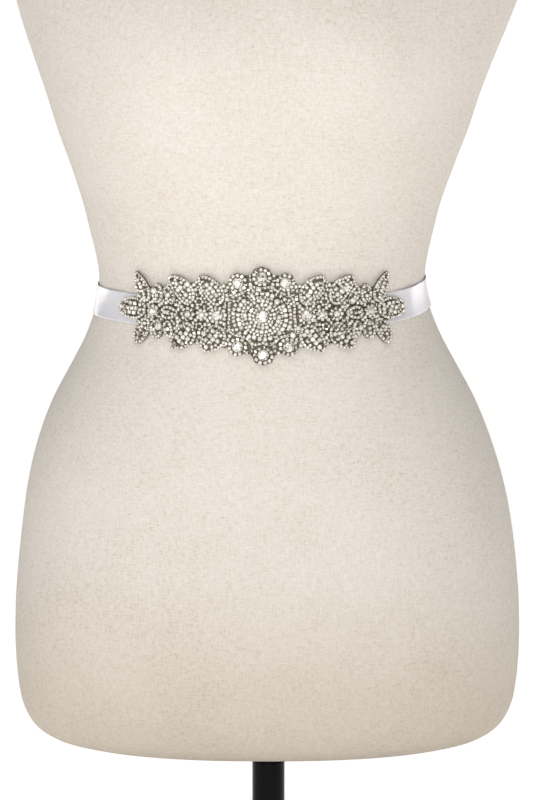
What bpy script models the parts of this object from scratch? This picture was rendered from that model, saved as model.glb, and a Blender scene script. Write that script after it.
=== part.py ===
"""A rhinestone belt tied round the waist of a limbless dress form on a counter stand.

Metres, +Z up. The front faces -Y, +X is the viewer's right, and the origin is under the middle of the base.
Belt sizes are in millimetres: along, the distance round the front from its middle, and up, the height over the waist.
"""

import math
from collections import namedtuple

import bmesh
import bpy
from mathutils import Vector

MM = 0.001

# The stand, from the floor up.
BASE_RADIUS = 150 * MM
BASE_THICKNESS = 10 * MM
BASE_EDGE_ROUND = 3 * MM
BOSS_RADIUS = 22 * MM
BOSS_HEIGHT = 24 * MM
POLE_RADIUS = 12.5 * MM
SOCKET_RADIUS = 17 * MM
SOCKET_HEIGHT = 16 * MM
PLATE_RADIUS = 40 * MM
PLATE_THICKNESS = 6 * MM
ROUND_STEPS = 40
SEAM = 0.3 * MM

# The form.
HEM_HEIGHT = 200 * MM
WAIST_TO_HEM = 340 * MM
WAIST_HEIGHT = HEM_HEIGHT + WAIST_TO_HEM
NECK_CAP_RADIUS = 54 * MM
NECK_CAP_THICKNESS = 9 * MM
TORSO_STEPS = 40
BUST_APART = 76
BUST_HEIGHT = 186
BUST_SPREAD = 52
BUST_SWELL = 12
# How square the form's outline grows, seen from above, away from the waist, where it is an ellipse.
SIDE_FULLNESS = 0.3
SIDE_FULLNESS_REACH = 90

Section = namedtuple("Section", "height half_width front back shift")
# Millimetres from the waist line: how wide the form is, how deep before and behind the pole's axis,
# and how far its middle lies to the right of that axis. The form in the photo has its waist off to the left.
FORM = (
    Section(-340, 146, 66, 86, -0.9),
    Section(-338, 162, 80, 101, -0.9),
    Section(-332, 175, 91, 112, -0.9),
    Section(-322, 183.5, 98, 120, -0.9),
    Section(-306, 189, 103, 125, -0.9),
    Section(-272, 192, 108, 128, -0.9),
    Section(-236, 191.5, 112, 128, -0.9),
    Section(-205, 189, 114, 126, -0.9),
    Section(-173, 185, 114, 121, -1.1),
    Section(-142, 179.5, 112, 114, -2.0),
    Section(-111, 171, 109, 105, -3.0),
    Section(-80, 159, 104, 96, -3.5),
    Section(-50, 143, 98, 87, -3.6),
    Section(-32, 133.5, 94, 82, -3.8),
    Section(-16, 127, 91, 79.5, -4.2),
    Section(-5, 123.7, 89.5, 78.3, -4.6),
    Section(6, 121.6, 88.6, 77.6, -4.8),
    Section(18, 121.3, 88.2, 77.6, -4.9),
    Section(32, 123.4, 88.8, 78.6, -5.0),
    Section(50, 127.5, 90.5, 80.5, -5.1),
    Section(71, 132.5, 93.5, 84, -5.0),
    Section(100, 142, 99, 89, -4.5),
    Section(126, 151.3, 102.2, 92.5, -4.2),
    Section(148, 158, 104.8, 95, -4.0),
    Section(168, 164.8, 106.3, 96.5, -3.6),
    Section(186, 171.3, 106.8, 97, -3.0),
    Section(203, 177.4, 106, 96.3, -2.2),
    Section(222, 183.4, 103.8, 95, -1.2),
    Section(250, 190, 98, 92, -0.3),
    Section(280, 194.5, 89, 88, 0),
    Section(305, 195.5, 79, 84, 0),
    Section(325, 191, 70, 80, 0),
    Section(342, 178, 63, 76, 0),
    Section(358, 156, 58, 71, 0),
    Section(372, 129, 55, 66, 0),
    Section(384, 104, 53, 62, 0),
    Section(394, 84, 52, 59, 0),
    Section(405, 70, 52, 57, 0),
    Section(420, 61.5, 52.5, 55, 0),
    Section(440, 57.5, 53, 54.5, 0),
    Section(462, 56, 53, 54, 0),
)

# The ribbon.
RIBBON_WIDTH = 22
RIBBON_THICKNESS = 1.0
RIBBON_LIFT = 0.45
RIBBON_PITCH = 7.4
RIBBON_FRONT_HALF = 88
KNOT_HALF_WIDTH = 10
KNOT_HALF_HEIGHT = 9.5
KNOT_THICKNESS = 9
KNOT_SECTIONS = 7
KNOT_STEPS = 16
GATHER_LENGTH = 34
GATHER_WIDTH = 15

Rise = namedtuple("Rise", "angle height")
# How far the ribbon climbs or dips round the waist, in degrees from the front and in millimetres.
RIBBON_RISE = (
    Rise(-180, 1.0),
    Rise(-135, -0.6),
    Rise(-90, -2.0),
    Rise(-52, 0.0),
    Rise(0, 0.0),
    Rise(44, 0.0),
    Rise(62, 1.8),
    Rise(90, 4.0),
    Rise(135, 3.0),
    Rise(180, 1.0),
)

Tail = namedtuple("Tail", "name side length drift wave_height waves lag")
# The ribbon's two ends, which hang from the knot and lie on the form's back.
TAILS = (
    Tail("ribbon_tail_left", -1, 268, 34, 1.6, 2.3, 0.4),
    Tail("ribbon_tail_right", 1, 246, 27, 1.9, 2.0, 1.5),
)
TAIL_TOP = -11
TAIL_START_HALF_WIDTH = 3.4
TAIL_START_ALONG = 4.6
TAIL_OPEN_LENGTH = 55
TAIL_SLANT = 13
TAIL_LIFT = 1.0
TAIL_SECTIONS = 20

# The applique.
APPLIQUE_LIFT = RIBBON_LIFT + RIBBON_THICKNESS + 0.35
LEAF_PLATE = 1.0
LEAF_SECTIONS = 9

Leaf = namedtuple("Leaf", "name base_along base_up tip_along tip_up half_width bow sharpness")
# The right half's leaves and petals. The left half's are their mirror images.
LEAVES = (
    Leaf("leaf_inner_upper", 29.3, 7.6, 44.0, 28.4, 7.1, 1.8, 0.62),
    Leaf("leaf_inner_lower", 28.8, -7.7, 40.6, -26.2, 8.0, -1.4, 0.6),
    Leaf("leaf_outer_upper", 50.6, 7.4, 66.8, 27.2, 7.3, 2.2, 0.62),
    Leaf("leaf_outer_lower", 50.2, -6.6, 62.4, -25.2, 7.8, -2.3, 0.6),
    Leaf("petal_up_in", 64.6, 6.4, 70.4, 20.2, 3.9, 0.0, 0.6),
    Leaf("petal_up", 77.2, 6.2, 76.6, 20.8, 4.6, 0.0, 0.5),
    Leaf("petal_up_out", 85.6, 6.3, 94.6, 28.8, 5.6, 0.0, 0.8),
    Leaf("petal_out", 85.9, 0.6, 112.6, 0.6, 8.2, 0.0, 0.62),
    Leaf("petal_down_out", 84.5, -5.6, 88.8, -24.6, 5.9, 0.6, 0.55),
    Leaf("petal_down", 76.8, -5.8, 74.6, -19.8, 4.9, 0.0, 0.45),
    Leaf("petal_down_in", 69.0, -5.9, 64.2, -18.4, 3.5, 0.0, 0.5),
    Leaf("petal_in", 73.9, 0.0, 60.4, 0.0, 4.9, 0.0, 0.7),
)
# How high a leaf stands over its plate, from its edge to its midrib.
LeafRow = namedtuple("LeafRow", "across rise")
LEAF_ROWS = (
    LeafRow(-1.0, 0.0),
    LeafRow(-0.8, 1.2),
    LeafRow(-0.42, 0.9),
    LeafRow(0.0, 1.9),
    LeafRow(0.42, 0.9),
    LeafRow(0.8, 1.2),
    LeafRow(1.0, 0.0),
)

Cluster = namedtuple("Cluster", "name along up radius")
MIDDLE_CLUSTERS = (
    Cluster("cluster_top", 0.0, 28.7, 7.0),
    Cluster("cluster_bottom", 0.0, -28.2, 7.0),
)
# These stand on both sides of the middle.
SIDE_CLUSTERS = (
    Cluster("cluster_upper", 16.3, 24.4, 6.7),
    Cluster("cluster_lower", 16.6, -22.4, 6.5),
    Cluster("cluster_side", 31.2, 0.0, 6.3),
)
SMALL_CLUSTERS = (
    Cluster("bead_link", 42.4, 0.0, 4.3),
    Cluster("bead_upper", 44.6, 9.6, 3.4),
    Cluster("bead_lower", 44.0, -8.6, 2.9),
    Cluster("bead_mid", 53.0, 0.0, 5.5),
    Cluster("bead_flower", 79.8, 0.0, 4.8),
)
CLUSTER_LOBES = 8
CLUSTER_SCALLOP = 0.045
CLUSTER_STEPS = 16
SMALL_STEPS = 14

Turn = namedtuple("Turn", "share rise")
# Profiles from the underside to the top of the stone, as a share of the radius and millimetres.
CLUSTER_PROFILE = (
    Turn(0.95, 0.0),
    Turn(1.0, 0.8),
    Turn(0.93, 2.1),
    Turn(0.72, 2.3),
    Turn(0.60, 1.7),
    Turn(0.56, 2.6),
    Turn(0.49, 3.5),
    Turn(0.27, 4.5),
)
SMALL_PROFILE = (
    Turn(0.93, 0.0),
    Turn(1.0, 0.9),
    Turn(0.88, 2.0),
    Turn(0.62, 1.9),
    Turn(0.55, 3.0),
    Turn(0.28, 3.7),
)
MEDALLION_PROFILE = (
    Turn(0.06, 0.0),
    Turn(0.37, 0.0),
    Turn(0.70, 0.0),
    Turn(0.985, 0.0),
    Turn(1.0, 0.9),
    Turn(0.95, 2.4),
    Turn(0.865, 2.1),
    Turn(0.78, 3.3),
    Turn(0.695, 2.9),
    Turn(0.61, 4.0),
    Turn(0.535, 3.6),
    Turn(0.42, 4.8),
    Turn(0.27, 4.9),
    Turn(0.225, 4.2),
    Turn(0.20, 5.4),
    Turn(0.17, 6.3),
    Turn(0.09, 7.2),
)
MEDALLION_STEPS = 40
MEDALLION_ROUND = 21.5

Edge = namedtuple("Edge", "angle radius")
# The medallion's scalloped edge, from its foot at -90 degrees over the side to its top.
MEDALLION_EDGE = (
    Edge(-90, 20.3),
    Edge(-72, 22.2),
    Edge(-56, 20.4),
    Edge(-43, 22.4),
    Edge(-31, 25.6),
    Edge(-14, 24.6),
    Edge(0, 23.6),
    Edge(14, 24.6),
    Edge(31, 25.6),
    Edge(44, 23.4),
    Edge(57, 22.0),
    Edge(72, 22.8),
    Edge(90, 21.0),
)


# Reading the tables


def between(rows, key, value, at):
    """The value column at that place of the key column, on a smooth curve through the table's rows."""
    keys = [getattr(row, key) for row in rows]
    values = [getattr(row, value) for row in rows]
    at = min(max(at, keys[0]), keys[-1])
    i = max(j for j in range(len(keys) - 1) if keys[j] <= at)
    slopes = []
    for j in (i, i + 1):
        low, high = max(j - 1, 0), min(j + 1, len(keys) - 1)
        slopes.append((values[high] - values[low]) / (keys[high] - keys[low]))
    span = keys[i + 1] - keys[i]
    x = (at - keys[i]) / span
    start = (2 * x**3 - 3 * x**2 + 1) * values[i] + (x**3 - 2 * x**2 + x) * span * slopes[0]
    end = (3 * x**2 - 2 * x**3) * values[i + 1] + (x**3 - x**2) * span * slopes[1]
    return start + end


def ease(x):
    """0 to 1 with level ends."""
    x = min(max(x, 0.0), 1.0)
    return x * x * (3 - 2 * x)


# The form's surface


def roundness(up):
    """The exponent of the form's outline at a height: 2 is an ellipse."""
    return 2 + SIDE_FULLNESS * (1 - math.exp(-((up / SIDE_FULLNESS_REACH) ** 2)))


def signed_power(value, power):
    return math.copysign(abs(value) ** power, value)


def form_point(angle, up):
    """A point of the form's skin: radians round from the front towards +X, millimetres over the waist."""
    half_width = between(FORM, "height", "half_width", up)
    deep = between(FORM, "height", "front" if math.cos(angle) > 0 else "back", up)
    power = 2 / roundness(up)
    x = half_width * signed_power(math.sin(angle), power) + between(FORM, "height", "shift", up)
    y = -deep * signed_power(math.cos(angle), power)
    if math.cos(angle) > 0:
        for side in (-1, 1):
            away = ((x - side * BUST_APART) ** 2 + (up - BUST_HEIGHT) ** 2) / BUST_SPREAD**2
            y -= BUST_SWELL * math.exp(-away) * math.cos(angle)
    return Vector((x, y, up)) * MM + Vector((0, 0, WAIST_HEIGHT))


def back_angle(x, up):
    """The angle at which the form's back is that many millimetres to the right of the pole's axis."""
    sideways = (x - between(FORM, "height", "shift", up)) / between(FORM, "height", "half_width", up)
    return math.pi - math.asin(signed_power(sideways, roundness(up) / 2))


def off_form(angle, up, lift):
    """A point that many millimetres out from the form's skin, square to it."""
    step_angle, step_up = 0.01, 0.5
    round_it = form_point(angle + step_angle, up) - form_point(angle - step_angle, up)
    upward = form_point(angle, up + step_up) - form_point(angle, up - step_up)
    return form_point(angle, up) + round_it.cross(upward).normalized() * lift * MM


def waist_angles():
    """Angles round the waist with the distance along it from the front's middle, in millimetres."""
    steps = 720
    angles = [math.pi * i / steps for i in range(steps + 1)]
    along = [0.0]
    for a, b in zip(angles, angles[1:]):
        along.append(along[-1] + (form_point(b, 0) - form_point(a, 0)).length / MM)
    return angles, along


WAIST_ANGLES, WAIST_ALONG = waist_angles()
HALF_WAIST = WAIST_ALONG[-1]
FORM_SHIFT_AT_WAIST = between(FORM, "height", "shift", 0)


def angle_at(along):
    """The angle round the waist at that distance from the front's middle."""
    far = min(abs(along), HALF_WAIST)
    i = max(j for j in range(len(WAIST_ALONG) - 1) if WAIST_ALONG[j] <= far)
    share = (far - WAIST_ALONG[i]) / (WAIST_ALONG[i + 1] - WAIST_ALONG[i])
    angle = WAIST_ANGLES[i] + share * (WAIST_ANGLES[i + 1] - WAIST_ANGLES[i])
    return math.copysign(angle, along)


def on_belt(along, up, lift):
    """A point of the belt: along and over the waist line, and out from the form's skin."""
    return off_form(angle_at(along), up, lift)


# Building solids


def material(name, colour, roughness, metallic=0.0):
    made = bpy.data.materials.new(name)
    made.use_nodes = True
    shader = made.node_tree.nodes["Principled BSDF"]
    shader.inputs["Base Color"].default_value = (*colour, 1.0)
    shader.inputs["Roughness"].default_value = roughness
    shader.inputs["Metallic"].default_value = metallic
    return made


def finish(obj, collection, look, smooth_angle=None):
    for other in obj.users_collection:
        other.objects.unlink(obj)
    collection.objects.link(obj)
    obj.data.materials.append(look)
    if smooth_angle is not None:
        obj.data.shade_smooth()
        obj.data.set_sharp_from_angle(angle=math.radians(smooth_angle))
    return obj


def loft(name, rings, collection, look, smooth_angle=60):
    """One closed solid through rings with the same number of points, its first and last rings capped."""
    mesh = bmesh.new()
    loops = [[mesh.verts.new(point) for point in ring] for ring in rings]
    for low, high in zip(loops, loops[1:]):
        for i, corner in enumerate(low):
            j = (i + 1) % len(low)
            mesh.faces.new((corner, low[j], high[j], high[i]))
    mesh.faces.new(reversed(loops[0]))
    mesh.faces.new(loops[-1])
    bmesh.ops.recalc_face_normals(mesh, faces=mesh.faces)
    data = bpy.data.meshes.new(name)
    mesh.to_mesh(data)
    mesh.free()
    return finish(bpy.data.objects.new(name, data), collection, look, smooth_angle)


def turned(name, profile, at, collection, look):
    """A round solid from a closed profile of radius and height, outer side from top to bottom, set at a height."""
    data = bpy.data.meshes.new(name)
    points = [(radius, 0.0, height) for radius, height in profile]
    data.from_pydata(points, [(i, i + 1) for i in range(len(points) - 1)], [])
    obj = finish(bpy.data.objects.new(name, data), collection, look)
    obj.location = (0, 0, at)
    screw = obj.modifiers.new("turn", "SCREW")
    screw.steps = ROUND_STEPS
    screw.render_steps = ROUND_STEPS
    screw.use_merge_vertices = True
    screw.merge_threshold = 0.00001
    return obj


# The stand and the form


def base(collection, look):
    edge = BASE_EDGE_ROUND
    top = BASE_THICKNESS
    profile = (
        (0.0, top + BOSS_HEIGHT),
        (BOSS_RADIUS - edge, top + BOSS_HEIGHT),
        (BOSS_RADIUS, top + BOSS_HEIGHT - edge),
        (BOSS_RADIUS, top + edge),
        (BOSS_RADIUS + edge, top),
        (BASE_RADIUS - edge, top),
        (BASE_RADIUS - 0.3 * edge, top - 0.3 * edge),
        (BASE_RADIUS, top - edge),
        (BASE_RADIUS, edge / 3),
        (BASE_RADIUS - edge / 3, 0.0),
        (0.0, 0.0),
    )
    return turned("base", profile, 0, collection, look)


def socket(collection, look):
    """The plate under the form, with the sleeve that takes the pole."""
    bottom = -(PLATE_THICKNESS + SOCKET_HEIGHT)
    profile = (
        (0.0, 0.0),
        (PLATE_RADIUS, 0.0),
        (PLATE_RADIUS, -PLATE_THICKNESS),
        (SOCKET_RADIUS, -PLATE_THICKNESS),
        (SOCKET_RADIUS, bottom),
        (0.0, bottom),
    )
    return turned("socket", profile, HEM_HEIGHT - SEAM, collection, look)


def pole(collection, look):
    bottom = BASE_THICKNESS + BOSS_HEIGHT + SEAM
    top = HEM_HEIGHT - SEAM - PLATE_THICKNESS - SOCKET_HEIGHT - SEAM
    middle = (bottom + top) / 2
    bpy.ops.mesh.primitive_cylinder_add(
        vertices=ROUND_STEPS,
        radius=POLE_RADIUS,
        depth=top - bottom,
        location=(0, 0, middle),
    )
    obj = bpy.context.object
    obj.name = "pole"
    return finish(obj, collection, look, 40)


def torso(collection, look):
    rings = []
    for row in FORM:
        angles = [2 * math.pi * i / TORSO_STEPS for i in range(TORSO_STEPS)]
        rings.append([form_point(angle, row.height) for angle in angles])
    return loft("torso", rings, collection, look, 80)


def neck_cap(collection, look):
    radius, thick = NECK_CAP_RADIUS, NECK_CAP_THICKNESS
    profile = (
        (0.0, thick),
        (0.55 * radius, 0.92 * thick),
        (0.85 * radius, 0.74 * thick),
        (0.97 * radius, 0.5 * thick),
        (radius, 0.28 * thick),
        (0.99 * radius, 0.0),
        (0.0, 0.0),
    )
    at = WAIST_HEIGHT + FORM[-1].height * MM + SEAM
    return turned("neck_cap", profile, at, collection, look)


# The ribbon


def ribbon_section(along, half_width, puff=0.0):
    """Six points round the ribbon's cloth where it crosses that distance along the waist."""
    angle = angle_at(along)
    middle = between(RIBBON_RISE, "angle", "height", math.degrees(angle))
    outer = RIBBON_LIFT + RIBBON_THICKNESS
    corners = ((-1, RIBBON_LIFT), (0, RIBBON_LIFT), (1, RIBBON_LIFT), (1, outer), (0, outer + puff), (-1, outer))
    return [on_belt(along, middle + across * half_width, lift) for across, lift in corners]


def ribbon_stretch(name, start, end, collection, look, gathered=False):
    """The ribbon between two distances along the waist. A gathered one narrows into the knot at its end."""
    count = max(2, round(abs(end - start) / RIBBON_PITCH))
    rings = []
    for i in range(count + 1):
        along = start + (end - start) * i / count
        half_width, puff = RIBBON_WIDTH / 2, 0.0
        if gathered:
            near = ease(1 - abs(end - along) / GATHER_LENGTH)
            half_width += (GATHER_WIDTH - RIBBON_WIDTH) / 2 * near
            puff = 1.6 * near
        rings.append(ribbon_section(along, half_width, puff))
    return loft(name, rings, collection, look, 50)


def ribbon(collection, look):
    front = RIBBON_FRONT_HALF
    knot_edge = HALF_WAIST - KNOT_HALF_WIDTH - SEAM / MM
    ribbon_stretch("ribbon_front", -front, front, collection, look)
    for name, side in (("ribbon_left", -1), ("ribbon_right", 1)):
        start = side * (front + SEAM / MM)
        ribbon_stretch(name, start, side * knot_edge, collection, look, gathered=True)


def knot(collection, look):
    """A flat overhand knot: one turn of the gathered ribbon, with a crease from corner to corner."""
    middle = between(RIBBON_RISE, "angle", "height", 180)
    rings = []
    for i in range(KNOT_SECTIONS):
        share = 2 * i / (KNOT_SECTIONS - 1) - 1
        along = HALF_WAIST + share * KNOT_HALF_WIDTH
        fullness = math.sqrt(max(0.0, 1 - (0.86 * share) ** 2))
        ring = []
        for j in range(KNOT_STEPS):
            turn = 2 * math.pi * j / KNOT_STEPS
            height = KNOT_HALF_HEIGHT * (0.72 + 0.28 * fullness)
            up = signed_power(math.sin(turn), 0.7) * height
            out = 0.5 + 0.5 * signed_power(math.cos(turn), 0.8)
            crease = 1.3 * math.exp(-(((up / height - 0.7 * share) / 0.25) ** 2)) * out
            lift = RIBBON_LIFT + 0.2 + (KNOT_THICKNESS * (0.45 + 0.55 * fullness)) * out - crease
            angle = math.pi + (along - HALF_WAIST) / between(FORM, "height", "half_width", 0)
            ring.append(off_form(angle, middle + up, lift))
        rings.append(ring)
    return loft("ribbon_knot", rings, collection, look, 50)


def tail_point(tail, share, across, lift):
    """A point of a tail: its share of the way down, -1 to 1 across the ribbon, and out from the form's back."""
    opened = ease(share * tail.length / TAIL_OPEN_LENGTH)
    half_width = TAIL_START_HALF_WIDTH + (RIBBON_WIDTH / 2 - TAIL_START_HALF_WIDTH) * opened
    length = tail.length + TAIL_SLANT * across * tail.side
    down = share * length
    spread = TAIL_START_ALONG + (half_width - TAIL_START_HALF_WIDTH) * 1.02
    x = tail.side * (spread + tail.drift * share**1.3) + across * half_width + FORM_SHIFT_AT_WAIST
    wave = tail.wave_height * opened * (1 + math.sin(tail.waves * math.tau * share + tail.lag + 0.8 * across))
    up = TAIL_TOP - down
    widest = min(FORM, key=lambda row: -row.back).height
    skin_up = max(up, widest)
    point = off_form(back_angle(x, skin_up), skin_up, TAIL_LIFT + wave + lift)
    point.z += (up - skin_up) * MM
    return point


def tails(collection, look):
    corners = ((-1, 0), (0, 0), (1, 0), (1, RIBBON_THICKNESS), (0, RIBBON_THICKNESS), (-1, RIBBON_THICKNESS))
    for tail in TAILS:
        rings = []
        for i in range(TAIL_SECTIONS + 1):
            share = i / TAIL_SECTIONS
            rings.append([tail_point(tail, share, across, lift) for across, lift in corners])
        loft(tail.name, rings, collection, look, 50)


# The applique


def leaf_half_width(leaf, share):
    """Half a leaf's width at that share of its length: round at the base, sharper at the tip."""
    base_power = 0.5
    widest = base_power / (base_power + leaf.sharpness)
    most = widest**base_power * (1 - widest) ** leaf.sharpness
    return leaf.half_width * share**base_power * (1 - share) ** leaf.sharpness / most


def leaf_solid(leaf, side, collection, look):
    base = Vector((leaf.base_along, leaf.base_up))
    axis = Vector((leaf.tip_along, leaf.tip_up)) - base
    across_axis = Vector((-axis.y, axis.x)).normalized()
    first, last = 0.025, 0.985
    rings = []
    for i in range(LEAF_SECTIONS):
        share = first + (last - first) * (0.5 - 0.5 * math.cos(math.pi * i / (LEAF_SECTIONS - 1)))
        half_width = leaf_half_width(leaf, share)
        middle = base + axis * share + across_axis * leaf.bow * 4 * share * (1 - share)
        swell = min(1.0, half_width / leaf.half_width * 1.25)
        points = [(row.across, LEAF_PLATE + row.rise * swell) for row in LEAF_ROWS]
        points += [(1.0, 0.0), (0.0, 0.0), (-1.0, 0.0)]
        ring = []
        for across, rise in points:
            place = middle + across_axis * half_width * across
            ring.append(on_belt(side * place.x, place.y, APPLIQUE_LIFT + rise))
        rings.append(ring)
    name = leaf.name + ("_left" if side < 0 else "_right")
    return loft(name, rings, collection, look, 35)


def rosette(name, cluster, profile, steps, scallop, collection, look):
    """A round cluster: a scalloped ring of small stones about one large stone."""
    rings = []
    for turn in profile:
        ring = []
        for i in range(steps):
            angle = math.tau * i / steps
            edge = 1 + scallop * math.cos(CLUSTER_LOBES * angle) * (turn.share > 0.7)
            radius = cluster.radius * turn.share * edge
            along = cluster.along + radius * math.cos(angle)
            ring.append(on_belt(along, cluster.up + radius * math.sin(angle), APPLIQUE_LIFT + turn.rise))
        rings.append(ring)
    return loft(name, rings, collection, look, 30)


def clusters(collection, look):
    for cluster in MIDDLE_CLUSTERS:
        rosette(cluster.name, cluster, CLUSTER_PROFILE, CLUSTER_STEPS, CLUSTER_SCALLOP, collection, look)
    for word, side in (("_left", -1), ("_right", 1)):
        for cluster in SIDE_CLUSTERS:
            placed = cluster._replace(along=side * cluster.along)
            rosette(cluster.name + word, placed, CLUSTER_PROFILE, CLUSTER_STEPS, CLUSTER_SCALLOP, collection, look)
        for cluster in SMALL_CLUSTERS:
            placed = cluster._replace(along=side * cluster.along)
            rosette(cluster.name + word, placed, SMALL_PROFILE, SMALL_STEPS, 0.0, collection, look)


def medallion(collection, look):
    """The middle: rings of small stones in steps up to the centre stone."""
    rings = []
    for turn in MEDALLION_PROFILE:
        ring = []
        for i in range(MEDALLION_STEPS):
            angle = math.tau * i / MEDALLION_STEPS
            from_side = math.degrees(math.asin(math.sin(angle)))
            edge = between(MEDALLION_EDGE, "angle", "radius", from_side)
            edge = MEDALLION_ROUND + (edge - MEDALLION_ROUND) * turn.share**3
            radius = edge * turn.share
            place = (radius * math.cos(angle), radius * math.sin(angle))
            ring.append(on_belt(*place, APPLIQUE_LIFT + turn.rise))
        rings.append(ring)
    return loft("medallion", rings, collection, look, 30)


def main():
    for obj in list(bpy.data.objects):
        bpy.data.objects.remove(obj)
    collection = bpy.data.collections.new("rhinestone_belt_on_dress_form")
    bpy.context.scene.collection.children.link(collection)
    linen = material("form_linen", (0.82, 0.77, 0.69), 0.85)
    satin = material("ribbon_satin", (0.86, 0.86, 0.89), 0.35)
    stones = material("applique_rhinestone", (0.72, 0.70, 0.66), 0.2, 0.8)
    black = material("stand_black", (0.015, 0.015, 0.017), 0.35)
    base(collection, black)
    socket(collection, black)
    pole(collection, black)
    torso(collection, linen)
    neck_cap(collection, linen)
    ribbon(collection, satin)
    knot(collection, satin)
    tails(collection, satin)
    medallion(collection, stones)
    clusters(collection, stones)
    for side in (-1, 1):
        for leaf in LEAVES:
            leaf_solid(leaf, side, collection, stones)


main()
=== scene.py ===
"""The looks of a rhinestone belt tied round a cream dress form on a black counter stand.

Metres in the CAD's frame, +Z up. The front faces -Y and +X is the viewer's right.
Belt sizes are in millimetres. Along is the distance round the front from its middle, and up is the height over
the waist.
"""

import math
import random
from collections import namedtuple

import bmesh
import bpy
import numpy as np
from mathutils import Matrix, Vector
from mathutils.bvhtree import BVHTree


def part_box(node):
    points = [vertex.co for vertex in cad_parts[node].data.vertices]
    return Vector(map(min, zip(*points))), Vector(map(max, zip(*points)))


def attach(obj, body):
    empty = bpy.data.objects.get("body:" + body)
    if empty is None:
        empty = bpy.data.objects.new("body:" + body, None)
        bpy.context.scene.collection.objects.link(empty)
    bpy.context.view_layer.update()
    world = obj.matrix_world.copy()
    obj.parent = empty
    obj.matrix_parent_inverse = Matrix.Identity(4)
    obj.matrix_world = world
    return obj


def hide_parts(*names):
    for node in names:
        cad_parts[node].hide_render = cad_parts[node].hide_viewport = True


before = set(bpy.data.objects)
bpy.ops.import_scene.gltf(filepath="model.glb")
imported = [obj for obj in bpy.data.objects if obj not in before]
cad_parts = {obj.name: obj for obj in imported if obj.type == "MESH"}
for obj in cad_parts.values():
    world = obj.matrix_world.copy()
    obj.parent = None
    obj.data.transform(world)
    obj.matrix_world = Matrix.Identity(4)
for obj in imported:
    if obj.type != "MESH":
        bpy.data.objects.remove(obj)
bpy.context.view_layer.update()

MM = 0.001
BODY = "root"

# The CAD's driving sizes, from part.py.
HEM_HEIGHT = 200 * MM
WAIST_TO_HEM = 340 * MM
WAIST_HEIGHT = HEM_HEIGHT + WAIST_TO_HEM
TORSO_STEPS = 40
RIBBON_WIDTH = 22
RIBBON_LIFT = 0.45
RIBBON_THICKNESS = 1.0
KNOT_HALF_WIDTH = 10
KNOT_HALF_HEIGHT = 9.5
KNOT_THICKNESS = 9
GATHER_LENGTH = 34
GATHER_WIDTH = 15
APPLIQUE_LIFT = RIBBON_LIFT + RIBBON_THICKNESS + 0.35
SEAM = 0.3
NECK_CAP_RADIUS = 54 * MM
NECK_CAP_THICKNESS = 9 * MM
BASE_THICKNESS = 10 * MM
BOSS_RADIUS = 22 * MM
SOCKET_RADIUS = 17 * MM
PLATE_THICKNESS = 6 * MM

# How fine the form's mesh is, and how far its edges and the stand's are rounded.
BODY_COLUMNS = 200
BODY_STEP = 2.6
CAP_EDGE = 3 * MM
STAND_EDGE = 1.6 * MM

# How far over the hem the linen is painted darker and warmer as painted shade, and how thick the ribbon and
# the ground plate are.
PAINTED_HEM_SHADE = 150 * MM
CLOTH_THICKNESS = 0.35 * MM
GROUND_THICKNESS = 0.7 * MM

# How far the ribbon climbs or dips round the waist, in degrees from the front and in millimetres.
RIBBON_RISE = (
    (-180, 1.0), (-135, -0.6), (-90, -2.0), (-52, 0.0), (0, 0.0),
    (44, 0.0), (62, 1.8), (90, 4.0), (135, 3.0), (180, 1.0),
)

Tail = namedtuple("Tail", "name side length drift wave_height waves lag")
TAILS = (
    Tail("ribbon_tail_left", -1, 268, 34, 1.6, 2.3, 0.4),
    Tail("ribbon_tail_right", 1, 246, 27, 1.9, 2.0, 1.5),
)
TAIL_TOP = -11
TAIL_START_HALF_WIDTH = 3.4
TAIL_START_ALONG = 4.6
TAIL_OPEN_LENGTH = 55
TAIL_SLANT = 13
TAIL_LIFT = 1.0

LEAF_ROUNDNESS = 0.5
Leaf = namedtuple("Leaf", "name base_along base_up tip_along tip_up half_width bow sharpness")
# The right half's leaves and petals. The left half's are their mirror images.
LEAVES = (
    Leaf("leaf_inner_upper", 29.3, 7.6, 44.0, 28.4, 7.1, 1.8, 0.62),
    Leaf("leaf_inner_lower", 28.8, -7.7, 40.6, -26.2, 8.0, -1.4, 0.6),
    Leaf("leaf_outer_upper", 50.6, 7.4, 66.8, 27.2, 7.3, 2.2, 0.62),
    Leaf("leaf_outer_lower", 50.2, -6.6, 62.4, -25.2, 7.8, -2.3, 0.6),
    Leaf("petal_up_in", 64.6, 6.4, 70.4, 20.2, 3.9, 0.0, 0.6),
    Leaf("petal_up", 77.2, 6.2, 76.6, 20.8, 4.6, 0.0, 0.5),
    Leaf("petal_up_out", 85.6, 6.3, 94.6, 28.8, 5.6, 0.0, 0.8),
    Leaf("petal_out", 85.9, 0.6, 112.6, 0.6, 8.2, 0.0, 0.62),
    Leaf("petal_down_out", 84.5, -5.6, 88.8, -24.6, 5.9, 0.6, 0.55),
    Leaf("petal_down", 76.8, -5.8, 74.6, -19.8, 4.9, 0.0, 0.45),
    Leaf("petal_down_in", 69.0, -5.9, 64.2, -18.4, 3.5, 0.0, 0.5),
    Leaf("petal_in", 73.9, 0.0, 60.4, 0.0, 4.9, 0.0, 0.7),
)

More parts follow.
